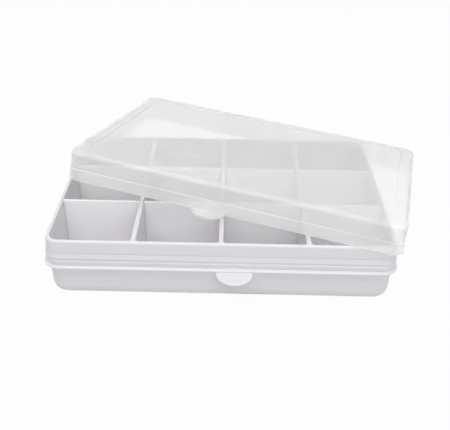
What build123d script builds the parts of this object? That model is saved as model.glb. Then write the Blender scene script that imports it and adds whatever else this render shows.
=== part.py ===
from build123d import *
import os
from math import cos, radians, sin

# Divided snack box: a tray with twelve compartments, eight lift-out dividers and a lid.
#
# Millimetres. The origin is the middle of the tray's base, +X is to the right along the long
# side, +Y to the back and +Z up. The lid lies askew on the tray, leaning on its rim.

os.makedirs("parts", exist_ok=True)

# Compartments
columns = 4
rows = 3
cell_width = 61.4
cell_depth = 55.0
column_wall = 3.6
trough_radius = 8.0
cell_corner = 2.5
inner_corner = 8.5

# Dividers and the slots they stand in
divider_thickness = 2.0
divider_drop = 0.6
divider_top_radius = 1.0
slot_depth = 0.8
slot_side_gap = 0.2
slot_end_gap = 0.3

# Tray
tray_height = 52.0
floor_thickness = 2.2
rim_wall = 2.6
rim_corner = 10.0
rim_round_out = 1.8
rim_edge_in = 0.6
lower_wall = 2.3
lower_corner = 12.5
base_round = 10.5

# Outside of the wall, from the rim down: drops from the rim, and how far each part stands
# out from the rim's outer face. The land steps in to the band, a groove parts the band from
# the bead, and a crease parts the bead from the lip, which flares into the lower body
land_drop = 10.0
land_out = 1.0
step_in = 0.3
step_height = 0.3
band_drop = 14.8
band_out = 1.9
groove_out = 0.9
groove_height = 0.9
groove_slope = 0.3
bead_drop = 17.3
bead_out = 1.8
bead_foot_out = 1.6
crease_drop = 20.4
crease_out = 1.1
crease_height = 0.5
lip_top_drop = 22.4
lip_out = 3.1
lip_foot_drop = 23.2
flare_height = 6.5
flare_radius = 12.0

# Finger tabs, side by side on the front edge
tab_radius = 13.8
tray_tab_x = 10.3
tray_tab_reach = 13.9
tray_tab_thickness = 2.0
tray_tab_drop = 23.7
tab_edge = 0.6
lid_tab_x = -13.9
lid_tab_reach = 12.0
lid_tab_thickness = 1.3
tab_rim_width = 1.3
tab_rim_height = 0.7
scallop_width = 19.0
scallop_depth = 1.1
scallop_height = 1.8

# Lid: closed, its skirt passes over the band with this gap and stands on the lip
lid_wall = 1.1
lid_top = 1.5
lid_gap = 0.4
skirt_height = 24.2
skirt_taper = 1.4
foot_height = 9.2
foot_taper = 0.8
skirt_step = 0.5
lid_corner = 10.8
lid_round = 4.0
skirt_edge_round = 0.4
border_width = 12.0
border_corner = 6.0
stacking_recess = 0.5
rib_length = 20.5
rib_spacing = 24.5
rib_height = 0.9
rib_reach = 0.9
rib_drop = 5.6

# How the lid lies: the middle of its lower edge in plan, and the heading of its long side
lid_spot_x = 26.1
lid_spot_y = 25.75
lid_heading = -15.2
lean_gap = 0.3

# Sizes that follow
column_pitch = cell_width + column_wall
row_pitch = cell_depth + divider_thickness
inner_length = columns * cell_width + (columns - 1) * column_wall
inner_depth = rows * cell_depth + (rows - 1) * divider_thickness
rim_length = inner_length + 2 * rim_wall
rim_depth = inner_depth + 2 * rim_wall
lid_length = rim_length + 2 * (band_out + lid_gap + lid_wall)
lid_depth = rim_depth + 2 * (band_out + lid_gap + lid_wall)
underside = skirt_height - lid_top


def rounded_face(points, radii):
    """A face in the XZ plane through (x, z) points, with the named corners rounded."""
    line = Polyline(*[(x, 0, z) for x, z in points], close=True)
    face = make_face(line)
    for (x, z), radius in radii:
        corner = face.vertices().sort_by_distance((x, 0, z))[0]
        face = fillet(corner, radius)
    return face


def frame_ring(profile, length, depth, corner):
    """Carry a profile round a rounded rectangle. Its x runs outward from the side."""
    ring = None
    for turn in range(4):
        across, along = (length, depth) if turn % 2 == 0 else (depth, length)
        run = along - 2 * corner
        side = extrude(Pos(across / 2, 0, 0) * profile, amount=run / 2, dir=(0, 1, 0), both=True)
        bend = revolve(Pos(corner, 0, 0) * profile, Axis.Z, 90)
        piece = side + Pos(across / 2 - corner, run / 2, 0) * bend
        piece = Rot(0, 0, 90 * turn) * piece
        ring = piece if ring is None else ring + piece
    return ring


def slab(length, depth, corner, low, high):
    """A rounded rectangular block between two heights."""
    return extrude(Pos(0, 0, low) * RectangleRounded(length, depth, corner), amount=high - low)


def trough_profile(width, low, high, radius):
    """The upright outline of a trough: straight sides and a rounded floor, seen from the front."""
    half = width / 2
    points = [(-half, low), (half, low), (half, high), (-half, high)]
    return rounded_face(points, [((-half, low), radius), ((half, low), radius)])


def column_cavity(column):
    """The hollow of one column of compartments, rounded along the floor and up the corners."""
    centre = (column - (columns - 1) / 2) * column_pitch
    top = tray_height + 1
    plan = Rectangle(cell_width, inner_depth)
    block = extrude(Pos(0, 0, floor_thickness) * plan, amount=top - floor_thickness)
    trough = fillet(block.edges().group_by(Axis.Z)[0], trough_radius)
    for side in (-1, 1):
        at_side_wall = column == 0 and side < 0 or column == columns - 1 and side > 0
        radius = inner_corner if at_side_wall else cell_corner
        corners = [v for v in plan.vertices() if abs(v.X - side * cell_width / 2) < 0.01]
        plan = fillet(corners, radius)
    return Pos(centre, 0, 0) * (trough & extrude(plan, amount=top))


def divider_spots():
    """Name, x and y of each divider, left to right, front then rear."""
    for row, word in enumerate(("front", "rear")):
        y = (row - (rows - 2) / 2) * row_pitch
        for column in range(columns):
            x = (column - (columns - 1) / 2) * column_pitch
            yield f"divider_{word}_{column + 1}", x, y


def slot_cut(x, y):
    """The slot of one divider, down both walls and across the floor."""
    profile = trough_profile(
        cell_width + 2 * slot_depth,
        floor_thickness - slot_depth,
        tray_height + 1,
        trough_radius + slot_depth,
    )
    width = divider_thickness + 2 * slot_side_gap
    return Pos(x, y, 0) * extrude(profile, amount=width / 2, dir=(0, 1, 0), both=True)


def divider(x, y):
    """A thin plate with a rounded lower edge that follows the trough."""
    reach = slot_depth - slot_end_gap
    half = cell_width / 2 + reach
    low = floor_thickness - reach
    high = tray_height - divider_drop
    points = [(-half, low), (half, low), (half, high), (-half, high)]
    radii = [((side * half, low), trough_radius + reach) for side in (-1, 1)]
    radii += [((side * half, high), divider_top_radius) for side in (-1, 1)]
    plate = extrude(rounded_face(points, radii), amount=divider_thickness / 2, dir=(0, 1, 0), both=True)
    return Pos(x, y, 0) * plate


def rim_band():
    """The wall's outside from the rim to the lip: land, band, groove, bead, crease and lip."""
    top = tray_height
    groove_top = top - band_drop - groove_slope
    crease_low = top - crease_drop - crease_height
    points = [
        (-rim_wall, top),
        (0, top),
        (land_out, top - land_drop),
        (land_out - step_in, top - land_drop - step_height),
        (band_out, top - band_drop),
        (groove_out, groove_top),
        (groove_out, groove_top - groove_height),
        (bead_out, top - bead_drop),
        (bead_foot_out, top - crease_drop),
        (crease_out, crease_low),
        (lip_out, top - lip_top_drop),
        (lip_out, top - lip_foot_drop),
        (-rim_wall, top - lip_foot_drop),
    ]
    profile = rounded_face(points, [((0, top), rim_round_out)])
    return frame_ring(profile, rim_length, rim_depth, rim_corner)


def flare():
    """The lip's underside, which runs down and in to the wall of the lower body."""
    top = tray_height - lip_foot_drop
    reach = lip_out + rim_wall - lower_wall
    low = top - flare_height
    foot = low - flare_radius / 2
    points = [(-lower_wall, top), (reach, top), (0, low), (0, foot), (-lower_wall, foot)]
    profile = rounded_face(points, [((0, low), flare_radius)])
    length, depth, _ = lower_size()
    return frame_ring(profile, length, depth, lower_corner)


def lower_size():
    """Length, depth and top of the lower body."""
    length = inner_length + 2 * lower_wall
    depth = inner_depth + 2 * lower_wall
    return length, depth, tray_height - lip_foot_drop + 1


def tray_tab():
    """A round finger tab under the lip, with a shallow scallop in the bead over it."""
    front = rim_depth / 2 + lip_out
    centre = front + tray_tab_reach - tab_radius
    low = tray_height - tray_tab_drop - tray_tab_thickness
    disc = Pos(tray_tab_x, -centre, low) * Cylinder(
        tab_radius, tray_tab_thickness, align=(Align.CENTER, Align.CENTER, Align.MIN)
    )
    disc = chamfer(disc.edges().filter_by(GeomType.CIRCLE), tab_edge)
    root_depth = centre - inner_depth / 2 - lower_wall / 2
    root = Pos(tray_tab_x, -centre, low) * Box(
        2 * tab_radius,
        root_depth,
        tray_tab_thickness,
        align=(Align.CENTER, Align.MIN, Align.MIN),
    )
    keep_out = Pos(tray_tab_x, -centre - tab_radius, low - 1) * Box(
        2 * tab_radius + 2,
        tab_radius + centre - rim_depth / 2,
        tray_tab_thickness + 2,
        align=(Align.CENTER, Align.MIN, Align.MIN),
    )
    return disc & keep_out, root - keep_out


def scallop_cut():
    """The shallow hollow over the tray's tab, where a fingertip goes."""
    radius = scallop_width ** 2 / (8 * scallop_depth)
    low = tray_height - crease_drop - crease_height
    face = rim_depth / 2 + bead_out
    return Pos(tray_tab_x, -(face + radius - scallop_depth), low) * Cylinder(
        radius, scallop_height + crease_height, align=(Align.CENTER, Align.CENTER, Align.MIN)
    )


def build_tray():
    """Lower body, rim band, tab and the four columns of compartments, in one moulding."""
    length, depth, lower_top = lower_size()
    lower = slab(length, depth, lower_corner, 0, lower_top)
    lower = fillet(lower.edges().group_by(Axis.Z)[0], base_round)
    core_length = inner_length + rim_wall
    core_depth = inner_depth + rim_wall
    core = slab(core_length, core_depth, inner_corner + rim_wall / 2, lower_top - 2, tray_height)
    tab, tab_root = tray_tab()
    body = lower + core + rim_band() + flare() - scallop_cut() + tab + tab_root
    for column in range(columns):
        body -= column_cavity(column)
    openings = body.faces().filter_by(Axis.Z).sort_by(Axis.Z)[-1].inner_wires()
    body = chamfer([edge for wire in openings for edge in wire.edges()], rim_edge_in)
    for _, x, y in divider_spots():
        body -= slot_cut(x, y)
    return body


def lid_shell():
    """Skirt with its flared foot, rounded top edge and raised border, carried round the lid."""
    neck = foot_taper + skirt_step
    slope = (skirt_taper - neck) / (skirt_height - foot_height)
    inside_top = neck + slope * (underside - foot_height) + lid_wall
    overlap = -(skirt_taper + lid_round + 1)
    points = [
        (0, 0),
        (-foot_taper, foot_height),
        (-neck, foot_height + skirt_step),
        (-skirt_taper, skirt_height),
        (overlap, skirt_height),
        (overlap, underside),
        (-inside_top, underside),
        (-neck - lid_wall, foot_height + skirt_step),
        (-foot_taper - lid_wall, foot_height),
        (-lid_wall, 0),
    ]
    radii = [
        (points[3], lid_round),
        (points[6], lid_round - lid_wall),
        (points[0], skirt_edge_round),
    ]
    shell = frame_ring(rounded_face(points, radii), lid_length, lid_depth, lid_corner)
    top_length = lid_length + 2 * overlap + 1
    top_depth = lid_depth + 2 * overlap + 1
    top_plate = slab(top_length, top_depth, lid_corner + overlap + 0.5, underside, skirt_height)
    border = 2 * (skirt_taper + border_width)
    recess_floor = skirt_height - stacking_recess
    recess = slab(lid_length - border, lid_depth - border, border_corner, recess_floor, skirt_height + 1)
    return shell + top_plate - recess


def inner_ribs():
    """Short ribs in a broken line round the inside of the skirt, close under its top edge."""
    middle = skirt_height - rib_drop
    neck = foot_taper + skirt_step
    slope = (skirt_taper - neck) / (skirt_height - foot_height)
    wall_middle = neck + slope * (middle - foot_height) + lid_wall / 2
    width = lid_wall / 2 + rib_reach
    ribs = []
    for turn in range(4):
        across, along = (lid_length, lid_depth) if turn % 2 == 0 else (lid_depth, lid_length)
        x = across / 2 - wall_middle - width / 2
        count = int((along - 2 * lid_corner) // rib_spacing)
        for index in range(count):
            y = (index - (count - 1) / 2) * rib_spacing
            ribs.append(Rot(0, 0, 90 * turn) * Pos(x, y, middle) * Box(width, rib_length, rib_height))
    return ribs


def lid_tab():
    """A thin round tab at the foot of the front skirt, with a raised edge."""
    front = lid_depth / 2 - lid_wall / 2
    centre = lid_depth / 2 + lid_tab_reach - tab_radius
    low = (Align.CENTER, Align.CENTER, Align.MIN)
    tab = Cylinder(tab_radius, lid_tab_thickness, align=low)
    edge = Cylinder(tab_radius, lid_tab_thickness + tab_rim_height, align=low)
    edge -= Cylinder(tab_radius - tab_rim_width, lid_tab_thickness + tab_rim_height, align=low)
    ahead = Pos(lid_tab_x, -front, -1) * Box(
        2 * tab_radius + 2, 2 * tab_radius, 2 * tab_radius, align=(Align.CENTER, Align.MAX, Align.MIN)
    )
    return Pos(lid_tab_x, -centre, 0) * (tab + edge) & ahead


def leaning_plane():
    """The plane of the lid's lower edge as the lid leans on the rim.

    It touches at three places: the left skirt's lower edge on the rear rim, the front
    skirt's lower edge on the front rim, and the underside on the rim's rear right corner.
    """
    inside_x = lid_length / 2 - lid_wall
    inside_y = lid_depth / 2 - lid_wall
    heading = Vector(cos(radians(lid_heading)), sin(radians(lid_heading)), 0)
    height = tray_height + lean_gap
    corner = rim_corner * (1 - cos(radians(45)))
    corner_x = rim_length / 2 - corner
    corner_y = rim_depth / 2 - corner
    normal = Vector(0, 0, 1)
    middle = Vector(lid_spot_x, lid_spot_y, height)
    for _ in range(12):
        along = heading - normal * heading.dot(normal)
        lie = Plane(origin=middle, x_dir=along, z_dir=normal)
        front_left = lie.from_local_coords(Vector(-inside_x, -inside_y, 0))
        front_right = lie.from_local_coords(Vector(inside_x, -inside_y, 0))
        rear_left = lie.from_local_coords(Vector(-inside_x, inside_y, 0))
        touches = []
        for end, rim_y in ((rear_left, rim_depth / 2), (front_right, -rim_depth / 2)):
            share = (rim_y - front_left.Y) / (end.Y - front_left.Y)
            point = front_left + (end - front_left) * share
            touches.append(Vector(point.X, point.Y, height))
        touches.append(Vector(corner_x, corner_y, height - underside / normal.Z))
        normal = (touches[1] - touches[0]).cross(touches[2] - touches[0]).normalized()
        offset = Vector(lid_spot_x, lid_spot_y, 0) - touches[0]
        middle_z = -(normal.X * offset.X + normal.Y * offset.Y) / normal.Z + height
        middle = Vector(lid_spot_x, lid_spot_y, middle_z)
    along = heading - normal * heading.dot(normal)
    return Plane(origin=middle, x_dir=along, z_dir=normal)


def build_lid():
    """The lid, laid on the tray."""
    return leaning_plane().location * (lid_shell() + inner_ribs() + lid_tab())


export_step(build_tray(), "parts/tray.step")
for name, x, y in divider_spots():
    export_step(divider(x, y), f"parts/{name}.step")
export_step(build_lid(), "parts/lid.step")
lie = leaning_plane()
print("lid plane origin", lie.origin, "normal", lie.z_dir, "long side", lie.x_dir)
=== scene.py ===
import bpy
from math import radians
from mathutils import Matrix, Vector


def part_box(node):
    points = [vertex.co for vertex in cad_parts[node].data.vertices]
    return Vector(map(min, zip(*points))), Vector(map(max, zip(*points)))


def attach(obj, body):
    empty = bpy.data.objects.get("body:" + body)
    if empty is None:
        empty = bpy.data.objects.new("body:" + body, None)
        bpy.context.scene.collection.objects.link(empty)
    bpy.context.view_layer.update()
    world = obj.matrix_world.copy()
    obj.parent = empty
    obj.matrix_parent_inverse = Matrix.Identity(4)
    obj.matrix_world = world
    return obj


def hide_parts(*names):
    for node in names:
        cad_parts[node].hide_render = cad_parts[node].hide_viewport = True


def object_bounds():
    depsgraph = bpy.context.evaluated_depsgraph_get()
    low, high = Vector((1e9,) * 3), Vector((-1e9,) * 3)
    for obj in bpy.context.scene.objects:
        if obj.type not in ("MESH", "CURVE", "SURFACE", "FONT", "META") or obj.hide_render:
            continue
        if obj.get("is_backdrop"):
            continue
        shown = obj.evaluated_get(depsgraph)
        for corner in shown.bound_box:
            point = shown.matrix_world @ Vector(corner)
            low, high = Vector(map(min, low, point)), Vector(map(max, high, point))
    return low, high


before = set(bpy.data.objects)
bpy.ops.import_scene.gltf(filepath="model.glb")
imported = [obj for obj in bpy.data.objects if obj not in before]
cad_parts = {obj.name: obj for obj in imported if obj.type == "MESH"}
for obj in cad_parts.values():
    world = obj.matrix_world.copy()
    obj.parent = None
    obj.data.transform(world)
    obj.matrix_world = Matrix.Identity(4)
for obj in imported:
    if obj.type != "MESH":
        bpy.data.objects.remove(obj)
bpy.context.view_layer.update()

bpy.ops.object.select_all(action="DESELECT")

# The studio: a pale sweep of floor, an overcast sky of soft light, one large lamp high over the
# front left and a weaker one before the front right. The camera looks down on the tray's front
# from about half a metre away.
mm = 0.001
photo_width = 450
focal_pixels = 663.47
sensor_width = 36.0
camera_target = Vector((2.37, -47.36, 52.0)) * mm
camera_distance = 518.47 * mm
camera_elevation = 33.0
camera_yaw = -0.166
camera_roll = 1.104

bpy.ops.object.camera_add()
camera = bpy.context.object
camera.name = "studio_camera"
camera.data.sensor_fit = "HORIZONTAL"
camera.data.sensor_width = sensor_width
camera.data.lens = focal_pixels * sensor_width / photo_width
camera.data.clip_start = 0.01
camera.matrix_world = (
    Matrix.Translation(camera_target)
    @ Matrix.Rotation(radians(-camera_yaw), 4, "Z")
    @ Matrix.Rotation(radians(90 - camera_elevation), 4, "X")
    @ Matrix.Rotation(radians(camera_roll), 4, "Z")
    @ Matrix.Translation((0, 0, camera_distance))
)
bpy.context.scene.camera = camera
bpy.context.scene.view_settings.view_transform = "Standard"


def white_for_eye(nodes, links):
    """1 where the studio is looked at, straight, through a clear part or in a reflection."""
    path = nodes.new("ShaderNodeLightPath")
    straight = nodes.new("ShaderNodeMath")
    straight.operation = "MAXIMUM"
    links.new(path.outputs["Is Camera Ray"], straight.inputs[0])
    links.new(path.outputs["Is Transmission Ray"], straight.inputs[1])
    either = nodes.new("ShaderNodeMath")
    either.operation = "MAXIMUM"
    links.new(straight.outputs[0], either.inputs[0])
    links.new(path.outputs["Is Glossy Ray"], either.inputs[1])
    return either


sky_strength = 0.56
sky_colour = (0.98, 0.985, 1.0, 1)
sky = bpy.data.worlds.new("studio_sky")
bpy.context.scene.world = sky
sky.use_nodes = True
nodes, links = sky.node_tree.nodes, sky.node_tree.links
nodes.clear()
light_sky = nodes.new("ShaderNodeBackground")
light_sky.inputs["Color"].default_value = sky_colour
light_sky.inputs["Strength"].default_value = sky_strength
seen_sky = nodes.new("ShaderNodeBackground")
seen_sky.inputs["Color"].default_value = (1, 1, 1, 1)
seen = white_for_eye(nodes, links)
sky_mix = nodes.new("ShaderNodeMixShader")
links.new(seen.outputs[0], sky_mix.inputs["Fac"])
links.new(light_sky.outputs[0], sky_mix.inputs[1])
links.new(seen_sky.outputs[0], sky_mix.inputs[2])
sky_out = nodes.new("ShaderNodeOutputWorld")
links.new(sky_mix.outputs[0], sky_out.inputs["Surface"])

floor_size = 6
floor_grey = 0.74
floor_glow_share = 0.96
bpy.ops.mesh.primitive_plane_add(size=floor_size, location=(0, 0, 0))
floor = bpy.context.object
floor.name = "studio_floor"
floor_white = bpy.data.materials.new("studio_floor_white")
floor_white.use_nodes = True
nodes, links = floor_white.node_tree.nodes, floor_white.node_tree.links
nodes.clear()
seen = white_for_eye(nodes, links)
share = nodes.new("ShaderNodeMath")
share.operation = "MULTIPLY"
share.inputs[1].default_value = floor_glow_share
links.new(seen.outputs[0], share.inputs[0])
matt = nodes.new("ShaderNodeBsdfDiffuse")
matt.inputs["Color"].default_value = (floor_grey, floor_grey, floor_grey, 1)
glow = nodes.new("ShaderNodeEmission")
floor_mix = nodes.new("ShaderNodeMixShader")
links.new(share.outputs[0], floor_mix.inputs["Fac"])
links.new(matt.outputs[0], floor_mix.inputs[1])
links.new(glow.outputs[0], floor_mix.inputs[2])
floor_out = nodes.new("ShaderNodeOutputMaterial")
links.new(floor_mix.outputs[0], floor_out.inputs["Surface"])
floor.data.materials.append(floor_white)
floor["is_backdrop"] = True

lamp_aim = Vector((0, 0, 30)) * mm
lamps = [
    ("key_lamp", (-0.25, -0.35, 1.25), 0.9, 6.8),
    ("fill_lamp", (0.35, -0.85, 0.8), 0.7, 3.0),
]
for name, place, size, power in lamps:
    bpy.ops.object.light_add(type="AREA", location=place)
    lamp = bpy.context.object
    lamp.name = name
    lamp.data.size = size
    lamp.data.energy = power
    toward = lamp_aim - Vector(place)
    lamp.rotation_euler = toward.to_track_quat("-Z", "Y").to_euler()


# The tray: one moulding in white polypropylene with a hint of lavender, satin from a lightly
# sparked mould, with a painted highlight that makes its edges lighter.
def new_group(name, inputs, outputs):
    """An empty shader group with its sockets, and its input and output nodes."""
    group = bpy.data.node_groups.new(name, "ShaderNodeTree")
    for label, kind, value in inputs:
        socket = group.interface.new_socket(label, in_out="INPUT", socket_type=kind)
        socket.default_value = value
    for label, kind in outputs:
        group.interface.new_socket(label, in_out="OUTPUT", socket_type=kind)
    return group, group.nodes.new("NodeGroupInput"), group.nodes.new("NodeGroupOutput")


# The mould's grain: fine spark marks over the faint ripple of the plastic's skin.
ripple_fineness = 160.0
ripple_share = 0.35
moulded_grain, given, made = new_group(
    "moulded_grain",
    [("Fineness", "NodeSocketFloat", 2200.0)],
    [("Height", "NodeSocketFloat")],
)
nodes, links = moulded_grain.nodes, moulded_grain.links
coordinate = nodes.new("ShaderNodeTexCoord")
spark = nodes.new("ShaderNodeTexNoise")
spark.inputs["Detail"].default_value = 3.0
links.new(coordinate.outputs["Object"], spark.inputs["Vector"])
links.new(given.outputs["Fineness"], spark.inputs["Scale"])
ripple = nodes.new("ShaderNodeTexNoise")
ripple.inputs["Scale"].default_value = ripple_fineness
ripple.inputs["Detail"].default_value = 1.0
links.new(coordinate.outputs["Object"], ripple.inputs["Vector"])
blend = nodes.new("ShaderNodeMix")
blend.inputs["Factor"].default_value = ripple_share
links.new(spark.outputs["Fac"], blend.inputs["A"])
links.new(ripple.outputs["Fac"], blend.inputs["B"])
links.new(blend.outputs["Result"], made.inputs["Height"])

# Handling marks: thin rubbed lines, gathered in patches, that dull the gloss.
line_turn = (0.2, 0.1, 0.7)
line_stretch = (9.0, 260.0, 60.0)
line_fineness = 3.0
line_from, line_full = 0.56, 0.72
patch_fineness = 28.0
patch_from, patch_full = 0.42, 0.62
handling_marks, given, made = new_group(
    "handling_marks",
    [("Amount", "NodeSocketFloat", 1.0)],
    [("Mask", "NodeSocketFloat")],
)
nodes, links = handling_marks.nodes, handling_marks.links
coordinate = nodes.new("ShaderNodeTexCoord")
smear = nodes.new("ShaderNodeMapping")
smear.inputs["Rotation"].default_value = line_turn
smear.inputs["Scale"].default_value = line_stretch
links.new(coordinate.outputs["Object"], smear.inputs["Vector"])
lines = nodes.new("ShaderNodeTexNoise")
lines.inputs["Scale"].default_value = line_fineness
lines.inputs["Detail"].default_value = 4.0
links.new(smear.outputs["Vector"], lines.inputs["Vector"])
patches = nodes.new("ShaderNodeTexNoise")
patches.inputs["Scale"].default_value = patch_fineness
patches.inputs["Detail"].default_value = 2.0
links.new(coordinate.outputs["Object"], patches.inputs["Vector"])
pick = nodes.new("ShaderNodeMapRange")
pick.inputs["From Min"].default_value = line_from
pick.inputs["From Max"].default_value = line_full
links.new(lines.outputs["Fac"], pick.inputs["Value"])
where = nodes.new("ShaderNodeMapRange")
where.inputs["From Min"].default_value = patch_from
where.inputs["From Max"].default_value = patch_full
links.new(patches.outputs["Fac"], where.inputs["Value"])
rubbed = nodes.new("ShaderNodeMath")
rubbed.operation = "MULTIPLY"
links.new(pick.outputs["Result"], rubbed.inputs[0])
links.new(where.outputs["Result"], rubbed.inputs[1])
amount = nodes.new("ShaderNodeMath")
amount.operation = "MULTIPLY"
amount.use_clamp = True
links.new(rubbed.outputs[0], amount.inputs[0])
links.new(given.outputs["Amount"], amount.inputs[1])
links.new(amount.outputs[0], made.inputs["Mask"])

# Edge round and highlight: the small round of every moulded edge, and its mask for a painted highlight.
# An edge begins where the rounded and the true normal part, and is full where they part widely.
edge_begins, edge_full = 0.99, 0.82
edge_round_and_highlight, given, made = new_group(
    "edge_round_and_highlight",
    [("Width", "NodeSocketFloat", 0.8 * mm)],
    [("Mask", "NodeSocketFloat"), ("Normal", "NodeSocketVector")],
)
nodes, links = edge_round_and_highlight.nodes, edge_round_and_highlight.links
rounded = nodes.new("ShaderNodeBevel")
rounded.samples = 6
links.new(given.outputs["Width"], rounded.inputs["Radius"])
surface = nodes.new("ShaderNodeNewGeometry")
agree = nodes.new("ShaderNodeVectorMath")
agree.operation = "DOT_PRODUCT"
links.new(rounded.outputs["Normal"], agree.inputs[0])
links.new(surface.outputs["Normal"], agree.inputs[1])
turned = nodes.new("ShaderNodeMapRange")
turned.inputs["From Min"].default_value = edge_begins
turned.inputs["From Max"].default_value = edge_full
links.new(agree.outputs["Value"], turned.inputs["Value"])
links.new(turned.outputs["Result"], made.inputs["Mask"])
links.new(rounded.outputs["Normal"], made.inputs["Normal"])


def place_group(tree, group, **values):
    """One copy of a group in a material, with its own values."""
    node = tree.nodes.new("ShaderNodeGroup")
    node.node_tree = group
    for label, value in values.items():
        node.inputs[label].default_value = value
    return node


plastic_index = 1.49
cloud_fineness = 22.0
cloudiness = 0.015
rubbed_dulling = 0.14


def plastic(name, colour, edge_highlight_colour, roughness, marks, grain_depth, fineness, edge_width, light_depth):
    """A moulded plastic: body colour, painted edge highlight colour, satin gloss, grain, and how deep
    light goes in.
    """
    material = bpy.data.materials.new(name)
    material.use_nodes = True
    tree = material.node_tree
    tree.nodes.clear()
    shader = tree.nodes.new("ShaderNodeBsdfPrincipled")
    shader.inputs["IOR"].default_value = plastic_index
    shader.inputs["Subsurface Weight"].default_value = 1.0
    shader.inputs["Subsurface Radius"].default_value = (1.0, 0.95, 0.98)
    shader.inputs["Subsurface Scale"].default_value = light_depth
    edge = place_group(tree, edge_round_and_highlight, Width=edge_width)
    # The edge highlight colour is painted light: a painted highlight along the edges, laid over the body
    # colour by the edge mask.
    body = tree.nodes.new("ShaderNodeMix")
    body.data_type = "RGBA"
    body.inputs["A"].default_value = (*colour, 1)
    body.inputs["B"].default_value = (*edge_highlight_colour, 1)
    tree.links.new(edge.outputs["Mask"], body.inputs["Factor"])
    cloud = tree.nodes.new("ShaderNodeTexNoise")
    cloud.inputs["Scale"].default_value = cloud_fineness
    cloud.inputs["Detail"].default_value = 2.0
    where = tree.nodes.new("ShaderNodeTexCoord")
    tree.links.new(where.outputs["Object"], cloud.inputs["Vector"])
    lift = tree.nodes.new("ShaderNodeMapRange")
    lift.inputs["To Min"].default_value = 1 - cloudiness
    lift.inputs["To Max"].default_value = 1 + cloudiness
    tree.links.new(cloud.outputs["Fac"], lift.inputs["Value"])
    tint = tree.nodes.new("ShaderNodeVectorMath")
    tint.operation = "SCALE"
    tree.links.new(body.outputs["Result"], tint.inputs[0])
    tree.links.new(lift.outputs["Result"], tint.inputs["Scale"])
    tree.links.new(tint.outputs["Vector"], shader.inputs["Base Color"])
    rub = place_group(tree, handling_marks, Amount=marks)
    gloss = tree.nodes.new("ShaderNodeMapRange")
    gloss.inputs["To Min"].default_value = roughness
    gloss.inputs["To Max"].default_value = roughness + rubbed_dulling
    tree.links.new(rub.outputs["Mask"], gloss.inputs["Value"])
    tree.links.new(gloss.outputs["Result"], shader.inputs["Roughness"])
    grain = place_group(tree, moulded_grain, Fineness=fineness)
    bump = tree.nodes.new("ShaderNodeBump")
    bump.inputs["Strength"].default_value = 0.5
    bump.inputs["Distance"].default_value = grain_depth
    tree.links.new(grain.outputs["Height"], bump.inputs["Height"])
    tree.links.new(edge.outputs["Normal"], bump.inputs["Normal"])
    tree.links.new(bump.outputs["Normal"], shader.inputs["Normal"])
    out = tree.nodes.new("ShaderNodeOutputMaterial")
    tree.links.new(shader.outputs[0], out.inputs["Surface"])
    return material


tray_material = plastic(
    "tray_polypropylene",
    colour=(0.79, 0.777, 0.795),
    edge_highlight_colour=(0.92, 0.91, 0.925),
    roughness=0.42,
    marks=0.8,
    grain_depth=0.04 * mm,
    fineness=2200.0,
    edge_width=0.8 * mm,
    light_depth=0.6 * mm,
)


def finish_node(name, material):
    """Give a node that keeps its CAD mesh its own finish."""
    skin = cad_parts[name].data.materials
    skin.clear()
    skin.append(material)


finish_node("tray", tray_material)


# The dividers: eight thin plates of the same plastic, smoother than the tray, with round lower
# corners that follow the troughs and edges eased by the mould. Each drops into its own slot.
plate_corner = 8.5 * mm
plate_top_corner = 1.0 * mm
plate_eased_edge = 0.35 * mm
smooth_below = radians(40)
hair = 0.01 * mm


def select_edges(piece, wanted):
    """In edit mode, select the edges whose two ends pass a test."""
    bpy.ops.object.mode_set(mode="OBJECT")
    mesh = piece.data
    for part in (mesh.vertices, mesh.edges, mesh.polygons):
        part.foreach_set("select", [False] * len(part))
    for edge in mesh.edges:
        edge.select = wanted(*[mesh.vertices[index].co for index in edge.vertices])
    bpy.ops.object.mode_set(mode="EDIT")


def round_edges(piece, wanted, radius, segments):
    """Round the edges that pass a test with a true arc."""
    select_edges(piece, wanted)
    bpy.ops.mesh.bevel(
        offset=radius,
        offset_type="OFFSET",
        segments=segments,
        profile=0.5,
        clamp_overlap=False,
    )


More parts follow.
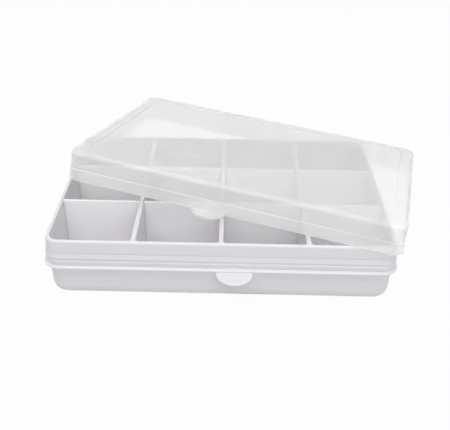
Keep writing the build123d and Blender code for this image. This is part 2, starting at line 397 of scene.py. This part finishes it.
bpy.context.tool_settings.mesh_select_mode = (False, True, False)
divider_names = [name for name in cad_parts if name.startswith("divider")]
low, high = [Vector(corner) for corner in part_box(divider_names[0])]
bpy.ops.mesh.primitive_cube_add(size=1, location=(low + high) / 2)
first_plate = bpy.context.object
first_plate.scale = high - low
bpy.ops.object.transform_apply(location=True, rotation=False, scale=True)
round_edges(
    first_plate,
    lambda a, b: abs(a.y - b.y) > hair and a.z < low.z + hair,
    radius=plate_corner,
    segments=14,
)
round_edges(
    first_plate,
    lambda a, b: abs(a.y - b.y) > hair and a.z > high.z - hair,
    radius=plate_top_corner,
    segments=5,
)
for side in (low.y, high.y):
    round_edges(
        first_plate,
        lambda a, b: abs(a.y - side) < hair and abs(b.y - side) < hair,
        radius=plate_eased_edge,
        segments=3,
    )
bpy.ops.object.mode_set(mode="OBJECT")
bpy.ops.object.shade_smooth_by_angle(angle=smooth_below)

# The dividers' colour is the tray's plastic painted lighter and a little pinker: painted light for the
# bright, softly lit faces inside the compartments.
divider_material_painted_lighter = plastic(
    "divider_polypropylene_painted_lighter",
    colour=(0.95, 0.918, 0.948),
    edge_highlight_colour=(0.97, 0.95, 0.97),
    roughness=0.38,
    marks=0.6,
    grain_depth=0.03 * mm,
    fineness=2600.0,
    edge_width=0.5 * mm,
    light_depth=2.0 * mm,
)
first_plate.data.materials.append(divider_material_painted_lighter)
# The first plate goes into its slot last, so that every copy is taken from a free plate.
for name in reversed(divider_names):
    plate = first_plate
    if name != divider_names[0]:
        bpy.ops.object.select_all(action="DESELECT")
        first_plate.select_set(True)
        bpy.context.view_layer.objects.active = first_plate
        bpy.ops.object.duplicate()
        plate = bpy.context.object
        plate.location = Vector(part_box(name)[0]) - low
        bpy.ops.object.transform_apply(location=True, rotation=False, scale=False)
    plate.name = f"{name}_plate"
    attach(plate, name)
    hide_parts(name)


# The lid: a thin shell of natural polypropylene, frosted on both faces, so that it veils what
# is under it. Its foot flares out, its top has a raised border and its tab a raised edge.
face_veil = 0.4
face_shade = 0.12
lid_material = plastic(
    "lid_frosted_polypropylene",
    colour=(0.96, 0.952, 0.96),
    edge_highlight_colour=(0.98, 0.98, 0.98),
    roughness=0.36,
    marks=1.0,
    grain_depth=0.03 * mm,
    fineness=1800.0,
    edge_width=0.6 * mm,
    light_depth=0.4 * mm,
)
# Each of the shell's two faces veils what is seen through it, and stops less of the light.
tree = lid_material.node_tree
path = tree.nodes.new("ShaderNodeLightPath")
veil = tree.nodes.new("ShaderNodeMapRange")
veil.inputs["To Min"].default_value = face_veil
veil.inputs["To Max"].default_value = face_shade
tree.links.new(path.outputs["Is Shadow Ray"], veil.inputs["Value"])
tree.links.new(veil.outputs["Result"], tree.nodes["Principled BSDF"].inputs["Alpha"])
finish_node("lid", lid_material)

low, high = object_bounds()
